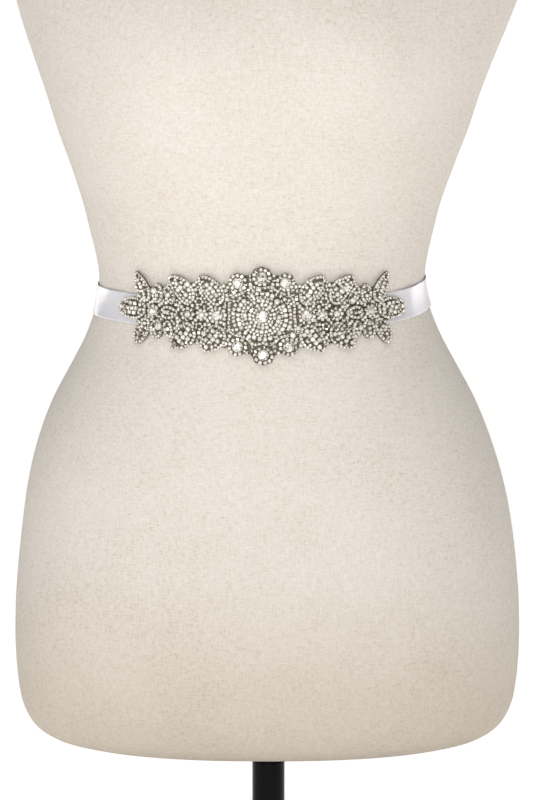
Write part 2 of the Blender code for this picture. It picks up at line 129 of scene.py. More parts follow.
# The round pieces, and the radius of the large stone on them. Two on each side have none.
Cluster = namedtuple("Cluster", "name along up radius stone")
MIDDLE_CLUSTERS = (
    Cluster("cluster_top", 0.0, 28.7, 7.0, 3.7),
    Cluster("cluster_bottom", 0.0, -28.2, 7.0, 3.7),
)
SIDE_CLUSTERS = (
    Cluster("cluster_upper", 16.3, 24.4, 6.7, 3.7),
    Cluster("cluster_lower", 16.6, -22.4, 6.5, 3.7),
    Cluster("cluster_side", 31.2, 0.0, 6.3, 3.7),
    Cluster("bead_link", 42.4, 0.0, 4.3, 2.2),
    Cluster("bead_upper", 44.6, 9.6, 3.4, None),
    Cluster("bead_lower", 44.0, -8.6, 2.9, None),
    Cluster("bead_mid", 53.0, 0.0, 5.5, 2.3),
    Cluster("bead_flower", 79.8, 0.0, 4.8, 2.7),
)
APPLIQUE_WORDS = ("leaf_", "petal_", "bead_", "cluster_", "medallion")

# The medallion's scalloped edge: angles from its foot over the side to its top, and radii.
MEDALLION_EDGE = (
    (-90, 20.3), (-72, 22.2), (-56, 20.4), (-43, 22.4), (-31, 25.6), (-14, 24.6), (0, 23.6),
    (14, 24.6), (31, 25.6), (44, 23.4), (57, 22.0), (72, 22.8), (90, 21.0),
)

# The stones, in millimetres. A scale is a share of the small stone's size.
STONE_SCALE = 1.28
STONE_PITCH = 2.9
CLOSEST_STONES = 2.66
EDGE_INSET = 1.0
CHIP_INSET = 0.8
CHIP_SCALE = 0.8
RIM_SCALE = 0.84
BROAD_LEAF = 6.5
BROAD_SCALE = 1.25
BROAD_PITCH = 3.5
ROW_SLANT = 0.62
ROW_PITCH = 1.14
STEP_PITCH = 0.96
VARIED_SCALE = 1.22
VARIED_SHARE = 0.08
MIDDLE_STONE = 4.35
RING_OUT = 1.7
RING_INSET = 0.95
LEAST_RING = 0.9
RING_GAP = 1.5

# The wire round the edges, in millimetres.
RIM_INSET = 0.4
RIM_RADIUS = 0.42
RIM_STEP = 0.8
RIM_SIDES = 6

# How high over the form's skin the stones and their ground stand, unless the CAD piece under them is higher.
PLATE_LIFT = APPLIQUE_LIFT + 0.45
SMALL_LIFT = APPLIQUE_LIFT + 0.9
GROUND_LIFT = APPLIQUE_LIFT + 1.05
ACCENT_LIFT = APPLIQUE_LIFT + 1.4
RING_LIFT = APPLIQUE_LIFT + 2.0
BEAD_LIFT = APPLIQUE_LIFT + 3.0
CLUSTER_LIFT = APPLIQUE_LIFT + 3.3
MIDDLE_LIFT = APPLIQUE_LIFT + 5.6
# A height that clears every CAD piece. Stones are lowered onto the pieces from there.
CLEAR_OF_ALL = 14.0

# The medallion's rings: radius and how large their stones are.
MEDALLION_RINGS = ((6.0, 0.84), (8.5, 1.0), (11.3, 1.0), (13.8, 0.84), (16.7, 1.25), (19.9, 1.0))

# A stone's turn is the way its row runs, in radians from the belt's length.
Stone = namedtuple("Stone", "along up scale turn", defaults=(0.0,))
# Larger stones among the small ones, which catch the light in the photograph.
ACCENTS = (
    Stone(-79.2, 15.4, 1.8),
    Stone(-73.8, -10.5, 2.1),
    Stone(-68.1, 13.2, 1.5),
    Stone(-52.6, 22.3, 1.6),
    Stone(-40.2, -13.5, 1.5),
    Stone(65.7, 9.3, 1.5),
    Stone(57.3, 16.7, 1.5),
    Stone(96.1, -1.1, 1.45),
    Stone(69.3, -11.4, 1.5),
    Stone(10.5, 10.5, 1.5),
    Stone(-2.2, 19.6, 1.45),
    Stone(20.4, -14.2, 1.6),
)

# The ground between the leaves, in millimetres. It closes gaps of twice the reach.
GROUND_REACH = 4.8
END_REACH = 3.3
GROUND_GRID = 0.7
# How far inside the ground's edge its plate and its stones start, and how far the plate reaches under a piece.
GROUND_EDGE = 0.3
GROUND_STONE_EDGE = 0.75
GROUND_UNDER = 1.6
# How far from a piece the ground's stones stay, times their scale.
GROOVE = 1.5
GROUND_HOLES = ((57.9, 6.6), (-57.4, 8.2), (57.2, -6.8), (-56.6, -6.4))
GROUND_HOLE_RADIUS = 0.8
# The depth of a spot that is far from every piece.
NOWHERE = -99.0

# The photograph's view.
PHOTO_HEIGHT = 800
CAMERA_BACK = 2.10
CAMERA_OVER_WAIST = 0.36
CAMERA_SIDE = -1.5 * MM
CAMERA_PITCH = math.radians(11.844)
FOCAL_PIXELS = 2854.13
SENSOR = 36.0


# The form's skin, read from the CAD


def torso_rings():
    """The rings of the CAD torso from its hem up, each from the front's middle round through +X."""
    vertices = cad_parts["torso"].data.vertices
    corners = {tuple(round(value, 6) for value in vertex.co) for vertex in vertices}
    levels = {}
    for corner in corners:
        levels.setdefault(round(corner[2], 5), []).append(corner)
    rings = []
    for height in sorted(levels):
        ring = np.array(levels[height])
        middle = ring[:, 0].mean()
        turn = np.mod(np.arctan2(ring[:, 0] - middle, -ring[:, 1]) + 0.001, math.tau)
        rings.append(ring[np.argsort(turn)])
    return np.array(rings)


RINGS = torso_rings()
RING_UP = (RINGS[:, 0, 2] - WAIST_HEIGHT) / MM


def turns(count):
    """The angles of some even steps round a circle."""
    return np.linspace(0, math.tau, count, endpoint=False)


def blend(x):
    """What each end of a smooth curve counts on the way, and what the slope at each end counts."""
    return 2 * x**3 - 3 * x**2 + 1, 3 * x**2 - 2 * x**3, x**3 - 2 * x**2 + x, x**3 - x**2


def weights(x, before, after):
    """The weights of four corners on a smooth curve, from its first slope's share and its last one's."""
    start, end, leaving, arriving = blend(x)
    first, last = leaving * before, arriving * after
    return -first, start - last, end + first, last


def skin(angle, up):
    """Points of the form's skin, on a smooth surface through the CAD torso's corners."""
    angle, up = np.broadcast_arrays(np.asarray(angle, float), np.asarray(up, float))
    last = len(RING_UP) - 1
    clamped = np.clip(up, RING_UP[0], RING_UP[-1])
    row = np.clip(np.searchsorted(RING_UP, clamped, side="right") - 1, 0, last - 1)
    rows = [np.clip(row + step, 0, last) for step in (-1, 0, 1, 2)]
    heights = [RING_UP[at] for at in rows]
    span = heights[2] - heights[1]
    before, after = span / (heights[2] - heights[0]), span / (heights[3] - heights[1])
    row_weights = weights((clamped - heights[1]) / span, before, after)
    place = np.mod(angle, math.tau) / math.tau * TORSO_STEPS
    column = np.floor(place).astype(int)
    column_weights = weights(place - column, 0.5, 0.5)
    points = np.zeros(angle.shape + (3,))
    for at, weight in zip(rows, row_weights):
        for step, other in zip((-1, 0, 1, 2), column_weights):
            corner = RINGS[at, np.mod(column + step, TORSO_STEPS)]
            points += corner * (weight * other)[..., None]
    points[..., 2] += (up - clamped) * MM
    return points


def off_skin(angle, up, lift):
    """Points that many millimetres out from the form's skin, square to it, and the way out there."""
    step_angle, step_up = 0.012, 0.6
    round_it = skin(angle + step_angle, up) - skin(angle - step_angle, up)
    upward = skin(angle, up + step_up) - skin(angle, up - step_up)
    out = np.cross(round_it, upward)
    out /= np.linalg.norm(out, axis=-1, keepdims=True)
    return skin(angle, up) + out * np.asarray(lift)[..., None] * MM, out


WAIST_ANGLES = np.linspace(0, math.pi, 721)
WAIST_POINTS = skin(WAIST_ANGLES, 0.0)
WAIST_ALONG = np.concatenate(([0], np.cumsum(np.linalg.norm(np.diff(WAIST_POINTS, axis=0), axis=1)))) / MM
HALF_WAIST = WAIST_ALONG[-1]


def angle_at(along):
    """The angle round the waist at a distance from the front's middle."""
    return np.sign(along) * np.interp(np.abs(along), WAIST_ALONG, WAIST_ANGLES)


def on_belt(along, up, lift):
    """Points of the belt and the way out of the form there."""
    along, up, lift = np.broadcast_arrays(along, up, lift)
    return off_skin(angle_at(np.asarray(along, float)), up, lift)


def ribbon_middle(angle):
    """How high the ribbon's middle runs over the waist line at an angle."""
    degrees, heights = zip(*RIBBON_RISE)
    turn = np.degrees(angle)
    smooth = [np.interp(turn + shift, degrees, heights) for shift in (-12, -6, 0, 6, 12)]
    return np.mean(smooth, axis=0)


def ease(x):
    x = np.clip(x, 0.0, 1.0)
    return x * x * (3 - 2 * x)


# Materials


class Nodes:
    """A short way to write a material's nodes."""

    def __init__(self, name):
        self.material = bpy.data.materials.new(name)
        self.material.use_nodes = True
        self.tree = self.material.node_tree
        self.shader = self.tree.nodes["Principled BSDF"]

    def add(self, kind, links=(), **values):
        node = self.tree.nodes.new(kind)
        for key, value in values.items():
            if key in node.inputs:
                node.inputs[key].default_value = value
            else:
                setattr(node, key, value)
        for socket, source in links:
            self.tree.links.new(source, node.inputs[socket])
        return node

    def noise(self, scale, detail=2.0, rough=0.5, ways=None):
        """Noise over the object's or other coordinates, stretched by one scale or by one for each axis."""
        ways = ways or self.add("ShaderNodeTexCoord").outputs["Object"]
        scale = scale if isinstance(scale, tuple) else (scale,) * 3
        stretched = self.add("ShaderNodeMapping", [("Vector", ways)], Scale=scale).outputs["Vector"]
        values = {"Scale": 1.0, "Detail": detail, "Roughness": rough}
        return self.add("ShaderNodeTexNoise", [("Vector", stretched)], **values).outputs["Fac"]

    def math(self, kind, a, b):
        node = self.add("ShaderNodeMath", operation=kind)
        for socket, value in ((0, a), (1, b)):
            if isinstance(value, (int, float)):
                node.inputs[socket].default_value = value
            else:
                self.tree.links.new(value, node.inputs[socket])
        return node.outputs[0]

    def mixed(self, *shares):
        """The sum of some sources, each times its share."""
        parts = [self.math("MULTIPLY", source, share) for source, share in shares]
        total = parts[0]
        for part in parts[1:]:
            total = self.math("ADD", total, part)
        return total

    def ramp(self, source, *stops):
        node = self.add("ShaderNodeValToRGB", [("Fac", source)])
        elements = node.color_ramp.elements
        while len(elements) < len(stops):
            elements.new(0.5)
        for element, (position, colour) in zip(elements, stops):
            element.position = position
            element.color = (*colour, 1.0)
        return node.outputs["Color"]

    def spread(self, source, low, high, at_low, at_high):
        values = {"From Min": low, "From Max": high, "To Min": at_low, "To Max": at_high}
        node = self.add("ShaderNodeMapRange", [("Value", source)], interpolation_type="SMOOTHSTEP", **values)
        return node.outputs["Result"]

    def bump(self, height, distance, strength):
        node = self.add("ShaderNodeBump", [("Height", height)], Strength=strength, Distance=distance)
        self.link("Normal", node.outputs["Normal"])

    def rough(self, least, source, more):
        """Roughness from a least value up, by a source."""
        self.link("Roughness", self.math("ADD", least, self.math("MULTIPLY", source, more)))

    def set(self, **values):
        for key, value in values.items():
            self.shader.inputs[key.replace("_", " ")].default_value = value

    def link(self, socket, source):
        self.tree.links.new(source, self.shader.inputs[socket])


def linen_material():
    """Cream linen: threads across and up in a fine heather with faint slubs, and painted shade that darkens
    and warms it toward the hem.
    """
    nodes = Nodes("form_linen_heather")
    across = nodes.noise((230, 230, 860), 2.0, 0.6)
    upright = nodes.noise((860, 860, 210), 2.0, 0.6)
    grain = nodes.noise(1500, 2.0, 0.6)
    slubs = nodes.noise((70, 70, 700))
    clouds = nodes.noise(14)
    mix = nodes.mixed((across, 0.30), (upright, 0.28), (grain, 0.23), (slubs, 0.05), (clouds, 0.14))
    colour = nodes.ramp(
        mix,
        (0.38, (0.62, 0.555, 0.475)),
        (0.46, (0.735, 0.685, 0.61)),
        (0.54, (0.78, 0.735, 0.668)),
        (0.62, (0.83, 0.795, 0.74)),
    )
    coordinates = nodes.add("ShaderNodeTexCoord")
    height = nodes.add("ShaderNodeSeparateXYZ", [(0, coordinates.outputs["Object"])]).outputs["Z"]
    # Painted shade: the linen turns darker and warmer over the last stretch above the hem.
    hem_painted_shade = nodes.ramp(height, (HEM_HEIGHT, (0.88, 0.84, 0.77)), (HEM_HEIGHT + PAINTED_HEM_SHADE, (1.0, 1.0, 1.0)))
    hem_shaded_colour = nodes.add("ShaderNodeVectorMath", [(0, colour), (1, hem_painted_shade)], operation="MULTIPLY")
    nodes.link("Base Color", hem_shaded_colour.outputs["Vector"])
    nodes.rough(0.80, across, 0.15)
    nodes.set(Specular_IOR_Level=0.2, Sheen_Weight=0.1, Sheen_Roughness=0.6)
    nodes.bump(mix, 0.0005, 0.5)
    return nodes.material


def satin_material():
    """White ribbon satin: fine threads along it and a soft glide of light across."""
    nodes = Nodes("ribbon_satin_white")
    ways = nodes.add("ShaderNodeUVMap", uv_map="ribbon").outputs["UV"]
    threads = nodes.noise((45, 4200, 1), 2.0, 0.55, ways)
    picks = nodes.noise((1300, 120, 1), 2.0, 0.5, ways)
    mix = nodes.mixed((threads, 0.7), (picks, 0.3))
    nodes.link("Base Color", nodes.ramp(mix, (0.3, (0.69, 0.69, 0.74)), (0.6, (0.77, 0.77, 0.81))))
    nodes.rough(0.24, mix, 0.14)
    nodes.set(Specular_IOR_Level=1.0, Sheen_Weight=0.15, Sheen_Roughness=0.35)
    nodes.bump(mix, 0.00012, 0.35)
    return nodes.material


def stone_material():
    """Foiled crystal: each facet has a painted tone of its own, painted glints, middling painted reflections
    and painted dark facets, standing for what the foil behind throws back.
    """
    nodes = Nodes("rhinestone_crystal")
    # Each facet's painted light and shade: painted glints, painted reflections and painted dark facets.
    tone = nodes.add("ShaderNodeAttribute", attribute_name="tone").outputs["Fac"]
    haze = nodes.noise(900, 1.0)
    value = nodes.math("ADD", tone, nodes.math("MULTIPLY", nodes.math("SUBTRACT", haze, 0.5), 0.2))
    colour = nodes.ramp(
        value,
        (0.0, (0.032, 0.025, 0.015)),
        (0.28, (0.22, 0.19, 0.135)),
        (0.55, (0.68, 0.64, 0.55)),
        (1.0, (0.94, 0.92, 0.875)),
    )
    nodes.link("Base Color", colour)
    nodes.set(Metallic=0.08, Roughness=0.14, Specular_IOR_Level=1.0, Coat_Weight=0.8, Coat_Roughness=0.03)
    return nodes.material


def metal_material(name, scale, detail, stops, rough, bump, relief=None, **looks):
    """Metal whose grain sets its colour, its roughness and, unless it has another, its relief."""
    nodes = Nodes(name)
    grain = nodes.noise(scale, detail, 0.6)
    nodes.link("Base Color", nodes.ramp(grain, *stops))
    nodes.rough(rough[0], grain, rough[1])
    nodes.set(**looks)
    nodes.bump(nodes.noise(relief) if relief else grain, *bump)
    return nodes.material


def floor_material():
    """A white studio floor that glows with painted light beyond the stand, so that it stays white into the
    distance, and glows less near the stand, a painted shadow pool round the base.
    """
    nodes = Nodes("studio_floor_white")
    coordinates = nodes.add("ShaderNodeTexCoord")
    away = nodes.add("ShaderNodeVectorMath", [(0, coordinates.outputs["Object"])], operation="LENGTH")
    # Painted light: the floor glows, weakly round the stand as a painted shadow pool and strongly beyond it.
    near_glow = nodes.spread(away.outputs["Value"], 0.22, 0.43, 0.15, 0.84)
    far_glow = nodes.spread(away.outputs["Value"], 1.0, 4.0, 0.0, 0.18)
    nodes.link("Emission Strength", nodes.math("ADD", near_glow, far_glow))
    grain = nodes.noise(30, 3.0)
    nodes.link("Base Color", nodes.ramp(grain, (0.3, (0.80, 0.80, 0.80)), (0.7, (0.84, 0.84, 0.84))))
    # The glow is slightly warm, a painted warm light thrown up onto the form.
    nodes.set(Roughness=0.9, Specular_IOR_Level=0.1, Emission_Color=(1.06, 1.02, 1.0, 1.0))
    return nodes.material


LINEN = linen_material()
SATIN = satin_material()
STONE = stone_material()
# The silver of the stones' cups, tarnished brown between them.
TARNISH = ((0.3, (0.48, 0.43, 0.34)), (0.7, (0.90, 0.87, 0.80)))
CUP = metal_material("cup_silver", 1400, 2.0, TARNISH, (0.25, 0.25), (0.0001, 0.3), Metallic=0.55)
# The dull plate that carries the cups, painted near black as painted shade between the stones, and dark with
# old solder.
SOLDER_AND_PAINTED_SHADE = ((0.3, (0.035, 0.028, 0.018)), (0.7, (0.18, 0.15, 0.105)))
BACKING = metal_material("plate_dull_metal", 1100, 3.0, SOLDER_AND_PAINTED_SHADE, (0.35, 0.3), (0.0002, 0.6), Metallic=0.4)
# Black enamel with faint dust and an orange-peel skin.
DUST = ((0.35, (0.0025, 0.0023, 0.0022)), (0.75, (0.008, 0.0075, 0.007)))
BLACK = metal_material(
    "stand_black_enamel", 60, 4.0, DUST, (0.18, 0.14), (0.0002, 0.15), relief=420, Specular_IOR_Level=0.09
)


# Making pieces


def add_object(name, data):
    thing = bpy.data.objects.new(name, data)
    bpy.context.scene.collection.objects.link(thing)
    return thing


def add_piece(name, mesh, looks, replaces=()):
    """Links a mesh as a piece that rides on the part's one body."""
    piece = add_object(name, mesh)
    for look in looks:
        mesh.materials.append(look)
    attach(piece, BODY)
    if replaces:
        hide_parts(*replaces)
    return piece


def grid_mesh(name, points, closed_round=False, caps=False, uv_size=None):
    """A smooth mesh over rows of points. A round one joins each row's end to its start."""
    rows, columns = points.shape[:2]
    mesh = bmesh.new()
    corners = [[mesh.verts.new(point) for point in row] for row in points]
    layer = mesh.loops.layers.uv.new("ribbon") if uv_size else None
    for i in range(rows - 1):
        for j in range(columns if closed_round else columns - 1):
            k = (j + 1) % columns
            face = mesh.faces.new((corners[i][j], corners[i][k], corners[i + 1][k], corners[i + 1][j]))
            if layer:
                places = ((i, j), (i, j + 1), (i + 1, j + 1), (i + 1, j))
                for loop, (row, column) in zip(face.loops, places):
                    loop[layer].uv = (uv_size[0] * row / (rows - 1), uv_size[1] * column / (columns - 1))
    if caps:
        mesh.faces.new(reversed(corners[0]))
        mesh.faces.new(corners[-1])
        bmesh.ops.recalc_face_normals(mesh, faces=mesh.faces)
    return smooth_data(mesh, name)


def smooth_data(mesh, name):
    data = bpy.data.meshes.new(name)
    mesh.to_mesh(data)
    mesh.free()
    data.shade_smooth()
    return data


def plain_data(name, points, faces):
    data = bpy.data.meshes.new(name)
    data.from_pydata(points.tolist(), [], faces)
    return data


def turned_mesh(name, profile, at, steps=128):
    """A round mesh from a profile of radius and height that starts and ends on the axis."""
    mesh = bmesh.new()
    rings = [
        [mesh.verts.new((radius * math.cos(a), radius * math.sin(a), height + at)) for a in turns(steps)]
        for radius, height in profile[1:-1]
    ]
    for low, high in zip(rings, rings[1:]):
        for i in range(steps):
            j = (i + 1) % steps
            mesh.faces.new((low[i], low[j], high[j], high[i]))
    for end in (0, -1):
        ring, pole = rings[end], mesh.verts.new((0, 0, profile[end][1] + at))
        for i in range(steps):
            mesh.faces.new((ring[i], ring[(i + 1) % steps], pole))
    bmesh.ops.recalc_face_normals(mesh, faces=mesh.faces)
    data = smooth_data(mesh, name)
    data.set_sharp_from_angle(angle=math.radians(50))
    return data


def rounded(profile, radius, steps=5):
    """A profile with its inner corners rounded by arcs of about that radius."""
    out = [profile[0]]
    for before, corner, after in zip(profile, profile[1:], profile[2:]):
        corner = np.array(corner)
        arms = [np.array(other) - corner for other in (before, after)]
        reach = min(radius, *(np.linalg.norm(arm) * 0.45 for arm in arms))
        start, end = (corner + arm / np.linalg.norm(arm) * reach for arm in arms)
        for i in range(steps + 1):
            t = i / steps
            out.append(tuple((1 - t) ** 2 * start + 2 * t * (1 - t) * corner + t**2 * end))
    out.append(profile[-1])
    return out


# The form and its stand


def form_skin():
    """The form's cloth-covered body, smooth through the CAD's corners."""
    ups = []
    for low, high in zip(RING_UP, RING_UP[1:]):
        count = max(2, round((high - low) / BODY_STEP))
        ups += list(np.linspace(low, high, count, endpoint=False))
    ups.append(RING_UP[-1])
    points = skin(turns(BODY_COLUMNS)[None, :], np.array(ups)[:, None])
    mesh = grid_mesh("form_body", points, closed_round=True, caps=True)
    add_piece("form_body", mesh, [LINEN], ["torso"])


def neck_cap():
    radius, thick = NECK_CAP_RADIUS, NECK_CAP_THICKNESS
    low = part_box("neck_cap")[0].z
    profile = [(0.0, thick), (0.55 * radius, 0.93 * thick), (0.86 * radius, 0.76 * thick)]
    profile += [(0.985 * radius, 0.5 * thick), (radius, 0.25 * thick), (0.985 * radius, 0.0), (0.0, 0.0)]
    mesh = turned_mesh("form_neck_cap", rounded(profile, CAP_EDGE), low)
    add_piece("form_neck_cap", mesh, [LINEN], ["neck_cap"])


def stand():
    for node in ("base", "socket", "pole"):
        low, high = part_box(node)
        radius, tall = (high.x - low.x) / 2, high.z - low.z
        top, foot = [(0.0, tall)], [(0.0, 0.0)]
        if node == "base":
            boss, plate = BOSS_RADIUS, BASE_THICKNESS
            side = [(boss, tall), (boss * 1.02, plate + 3 * MM), (boss * 1.35, plate)]
            side += [(radius, plate * 0.94), (radius, 0.0)]
        elif node == "socket":
            sleeve, plate = SOCKET_RADIUS, PLATE_THICKNESS
            side = [(radius, tall), (radius, tall - plate), (sleeve, tall - plate), (sleeve, 0.0)]
        else:
            side = [(radius, tall), (radius, 0.0)]
        mesh = turned_mesh("stand_" + node, rounded(top + side + foot, STAND_EDGE), low.z)
        add_piece("stand_" + node, mesh, [BLACK], [node])


# The ribbon


def thicken(piece, thickness):
    solid = piece.modifiers.new("cloth", "SOLIDIFY")
    solid.thickness = thickness
    solid.offset = 0


def ribbon_band():
    """The ribbon from the knot's one side round the front to its other side."""
    end = HALF_WAIST - KNOT_HALF_WIDTH - SEAM
    along = np.linspace(-end, end, 521)[:, None]
    place = np.linspace(-1, 1, 25)[None, :]
    near_knot = ease(1 - (end - np.abs(along)) / GATHER_LENGTH)
    half_width = RIBBON_WIDTH / 2 + (GATHER_WIDTH - RIBBON_WIDTH) / 2 * near_knot
    middle = ribbon_middle(angle_at(along))
    pleats = 0.55 * near_knot * (1 + np.cos(place * math.pi * 2.5 + 0.6)) + 0.5 * near_knot
    ripples = 0.26 * np.sin(along / 6.3 + 0.8 * place + 0.7) + 0.14 * np.sin(along / 3.7 - 1.2 * place)
    twist = 0.28 * place * np.sin(along / 17 + 1.0)
    beyond = ease((np.abs(along) - 96) / 24)
    lift = RIBBON_LIFT + 0.45 + pleats + (ripples + twist) * (0.15 + 0.85 * beyond)
    points, _ = on_belt(along, middle + place * half_width, lift)
    mesh = grid_mesh("ribbon_band", points, uv_size=(2 * end * MM, RIBBON_WIDTH * MM))
    stretches = ["ribbon_front", "ribbon_left", "ribbon_right"]
    piece = add_piece("ribbon_band", mesh, [SATIN], stretches)
    thicken(piece, CLOTH_THICKNESS)


def signed_power(value, power):
    return np.sign(value) * np.abs(value) ** power


def ribbon_knot():
    """The flat knot: one turn of the ribbon over the band, creased from corner to corner."""
    middle = ribbon_middle(np.array(math.pi))
    share = np.linspace(-1, 1, 41)[:, None]
    turn = turns(96)[None, :]
    fullness = np.sqrt(np.maximum(0.0, 1 - (0.86 * share) ** 2))
    height = KNOT_HALF_HEIGHT * (0.72 + 0.28 * fullness)
    up = signed_power(np.sin(turn), 0.7) * height
    out = 0.5 + 0.5 * signed_power(np.cos(turn), 0.8)
    across = up / height
    crease = 1.5 * np.exp(-(((across - 0.7 * share) / 0.22) ** 2)) * out
    folds = 0.28 * np.cos((across * 2.4 - share * 1.9) * math.pi * 1.5 + 0.7) * out
    lift = RIBBON_LIFT + 0.4 + (KNOT_THICKNESS - 0.4) * (0.45 + 0.55 * fullness) * out - crease + folds
    half_form = (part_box("torso")[1].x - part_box("torso")[0].x) / 2 / MM
    angle = math.pi + share * KNOT_HALF_WIDTH / (half_form * 0.63)
    points, _ = off_skin(*np.broadcast_arrays(angle + 0 * up, middle + up, lift))
    size = (2 * KNOT_HALF_WIDTH * MM, 2 * KNOT_THICKNESS * MM)
    mesh = grid_mesh("ribbon_knot_wrap", points, closed_round=True, caps=True, uv_size=size)
    add_piece("ribbon_knot_wrap", mesh, [SATIN], ["ribbon_knot"])


def ribbon_tails():
    widest = RING_UP[np.argmax(RINGS[:, :, 1].max(axis=1))]
    waist_shift = RINGS[np.argmin(np.abs(RING_UP)), :, 0].mean() / MM
    for tail in TAILS:
        share = np.linspace(0, 1, 181)[:, None]
        across = np.linspace(-1, 1, 21)[None, :]
        opened = ease(share * tail.length / TAIL_OPEN_LENGTH)
        half_width = TAIL_START_HALF_WIDTH + (RIBBON_WIDTH / 2 - TAIL_START_HALF_WIDTH) * opened
        length = tail.length + TAIL_SLANT * across * tail.side
        spread = TAIL_START_ALONG + (half_width - TAIL_START_HALF_WIDTH) * 1.02
        x = tail.side * (spread + tail.drift * share**1.3) + across * half_width + waist_shift
        phase = tail.waves * math.tau * share + tail.lag + 0.8 * across
        wave = tail.wave_height * opened * (1 + np.sin(phase))
        pleat = 0.9 * (1 - opened) * (1 + np.cos(across * math.pi * 2.2))
        up = TAIL_TOP - share * length
        skin_up = np.maximum(up, widest)
        angle = back_angle(x, skin_up)
        points, _ = off_skin(angle, skin_up, TAIL_LIFT + 0.5 + wave + pleat)
        points[..., 2] += (up - skin_up) * MM
        size = (tail.length * MM, RIBBON_WIDTH * MM)
        mesh = grid_mesh(tail.name + "_cloth", points, uv_size=size)
        piece = add_piece(tail.name + "_cloth", mesh, [SATIN], [tail.name])
        thicken(piece, CLOTH_THICKNESS)


def back_angle(x, up):
    """The angle at which the form's back is that many millimetres to the right of the pole's axis."""
    angles = np.linspace(math.pi / 2 + 0.05, 3 * math.pi / 2 - 0.05, 41)
    flat_up = np.unique(np.round(up, 1))
    grid = skin(angles[None, :], flat_up[:, None])[..., 0] / MM
    found = np.empty(np.broadcast(x, up).shape)
    x, up = np.broadcast_arrays(x, up)
    for index in np.ndindex(found.shape):
        row = grid[np.searchsorted(flat_up, round(float(up[index]), 1)).clip(0, len(flat_up) - 1)]
        found[index] = np.interp(-x[index], -row, angles)
    return found


# Outlines on the belt


def ring_spots(centre, radius, count, turn=0.0):
    angles = turns(count) + turn
    return np.asarray(centre) + radius * np.stack((np.cos(angles), np.sin(angles)), axis=1)


def medallion_outline():
    """The medallion's edge, on a smooth curve through its table."""
    angles = turns(120)
    at = np.degrees(np.arcsin(np.sin(angles)))
    keys, values = np.array(MEDALLION_EDGE, float).T
    slopes = np.gradient(values, keys)
    i = np.clip(np.searchsorted(keys, at, side="right") - 1, 0, len(keys) - 2)
    span = keys[i + 1] - keys[i]
    x = (at - keys[i]) / span
    start, end, leaving, arriving = blend(x)
    leaving, arriving = leaving * span * slopes[i], arriving * span * slopes[i + 1]
    radius = start * values[i] + leaving + (end * values[i + 1] + arriving)
    return np.stack((radius * np.cos(angles), radius * np.sin(angles)), axis=1)


def leaf_line(leaf, side):
    """A leaf's base, axis and the way across it, on its side of the belt."""
    base = np.array((side * leaf.base_along, leaf.base_up))
    tip = np.array((side * leaf.tip_along, leaf.tip_up))
    axis = tip - base
    across = side * np.array((-axis[1], axis[0])) / np.linalg.norm(axis)
    return base, axis, across


def leaf_point(leaf, side, share, across):
    """A point of a leaf: its share of the way to the tip, and -1 to 1 across it."""
    base, axis, across_axis = leaf_line(leaf, side)
    widest = LEAF_ROUNDNESS / (LEAF_ROUNDNESS + leaf.sharpness)
    most = widest**LEAF_ROUNDNESS * (1 - widest) ** leaf.sharpness
    half_width = leaf.half_width * share**LEAF_ROUNDNESS * (1 - share) ** leaf.sharpness / most
    middle = base + axis * share + across_axis * leaf.bow * 4 * share * (1 - share)
    return middle + across_axis * half_width * across


def leaf_outline(leaf, side):
    shares = [0.02 + 0.965 * (0.5 - 0.5 * math.cos(math.pi * i / 16)) for i in range(17)]
    there = [leaf_point(leaf, side, share, -1) for share in shares]
    back = [leaf_point(leaf, side, share, 1) for share in reversed(shares)]
    return np.array(there + back)


def insets(points, outline):
    """How far inside an outline each point is. Outside, it is below zero."""
    points = np.asarray(points, float).reshape(-1, 1, 2)
    start = outline[None]
    edge = np.roll(outline, -1, axis=0)[None] - start
    away = points - start
    share = np.clip((away * edge).sum(axis=2) / (edge**2).sum(axis=2), 0, 1)
    near = np.linalg.norm(away - edge * share[..., None], axis=2).min(axis=1)
    above = start[..., 1] > points[..., 1]
    crosses = above != (start[..., 1] + edge[..., 1] > points[..., 1])
    rise = np.where(edge[..., 1] == 0, 1e-9, edge[..., 1])
    left_of = points[..., 0] < edge[..., 0] * away[..., 1] / rise + start[..., 0]
    inside = (crosses & left_of).sum(axis=1) % 2 == 1
    return np.where(inside, near, -near)


def grid_over(outline, spacing, margin=0.0):
    low, high = outline.min(axis=0) - margin, outline.max(axis=0) + margin
    across, up = np.meshgrid(np.arange(low[0], high[0], spacing), np.arange(low[1], high[1], spacing))
    return np.stack((across.ravel(), up.ravel()), axis=1)


def walk(line, pitch, closed):
    """Points at even steps along a line, as near the pitch as fits."""
    if closed:
        line = np.vstack((line, line[:1]))
    steps = np.linalg.norm(np.diff(line, axis=0), axis=1)
    far = np.concatenate(([0], np.cumsum(steps)))
    count = max(3 if closed else 2, round(far[-1] / pitch) + (0 if closed else 1))
    at = np.linspace(0, far[-1], count, endpoint=not closed)
    return np.stack([np.interp(at, far, line[:, axis]) for axis in (0, 1)], axis=1)


def shrink(outline, by):
    """An outline moved in by a distance, without the points that this would fold over."""
    before, after = np.roll(outline, 1, axis=0), np.roll(outline, -1, axis=0)
    along = after - before
    square = np.stack((-along[:, 1], along[:, 0]), axis=1) / np.linalg.norm(along, axis=1)[:, None]
    area = (outline[:, 0] * after[:, 1] - after[:, 0] * outline[:, 1]).sum()
    moved = outline + square * by * np.sign(area)
    return moved[insets(moved, outline) > by - 0.06]


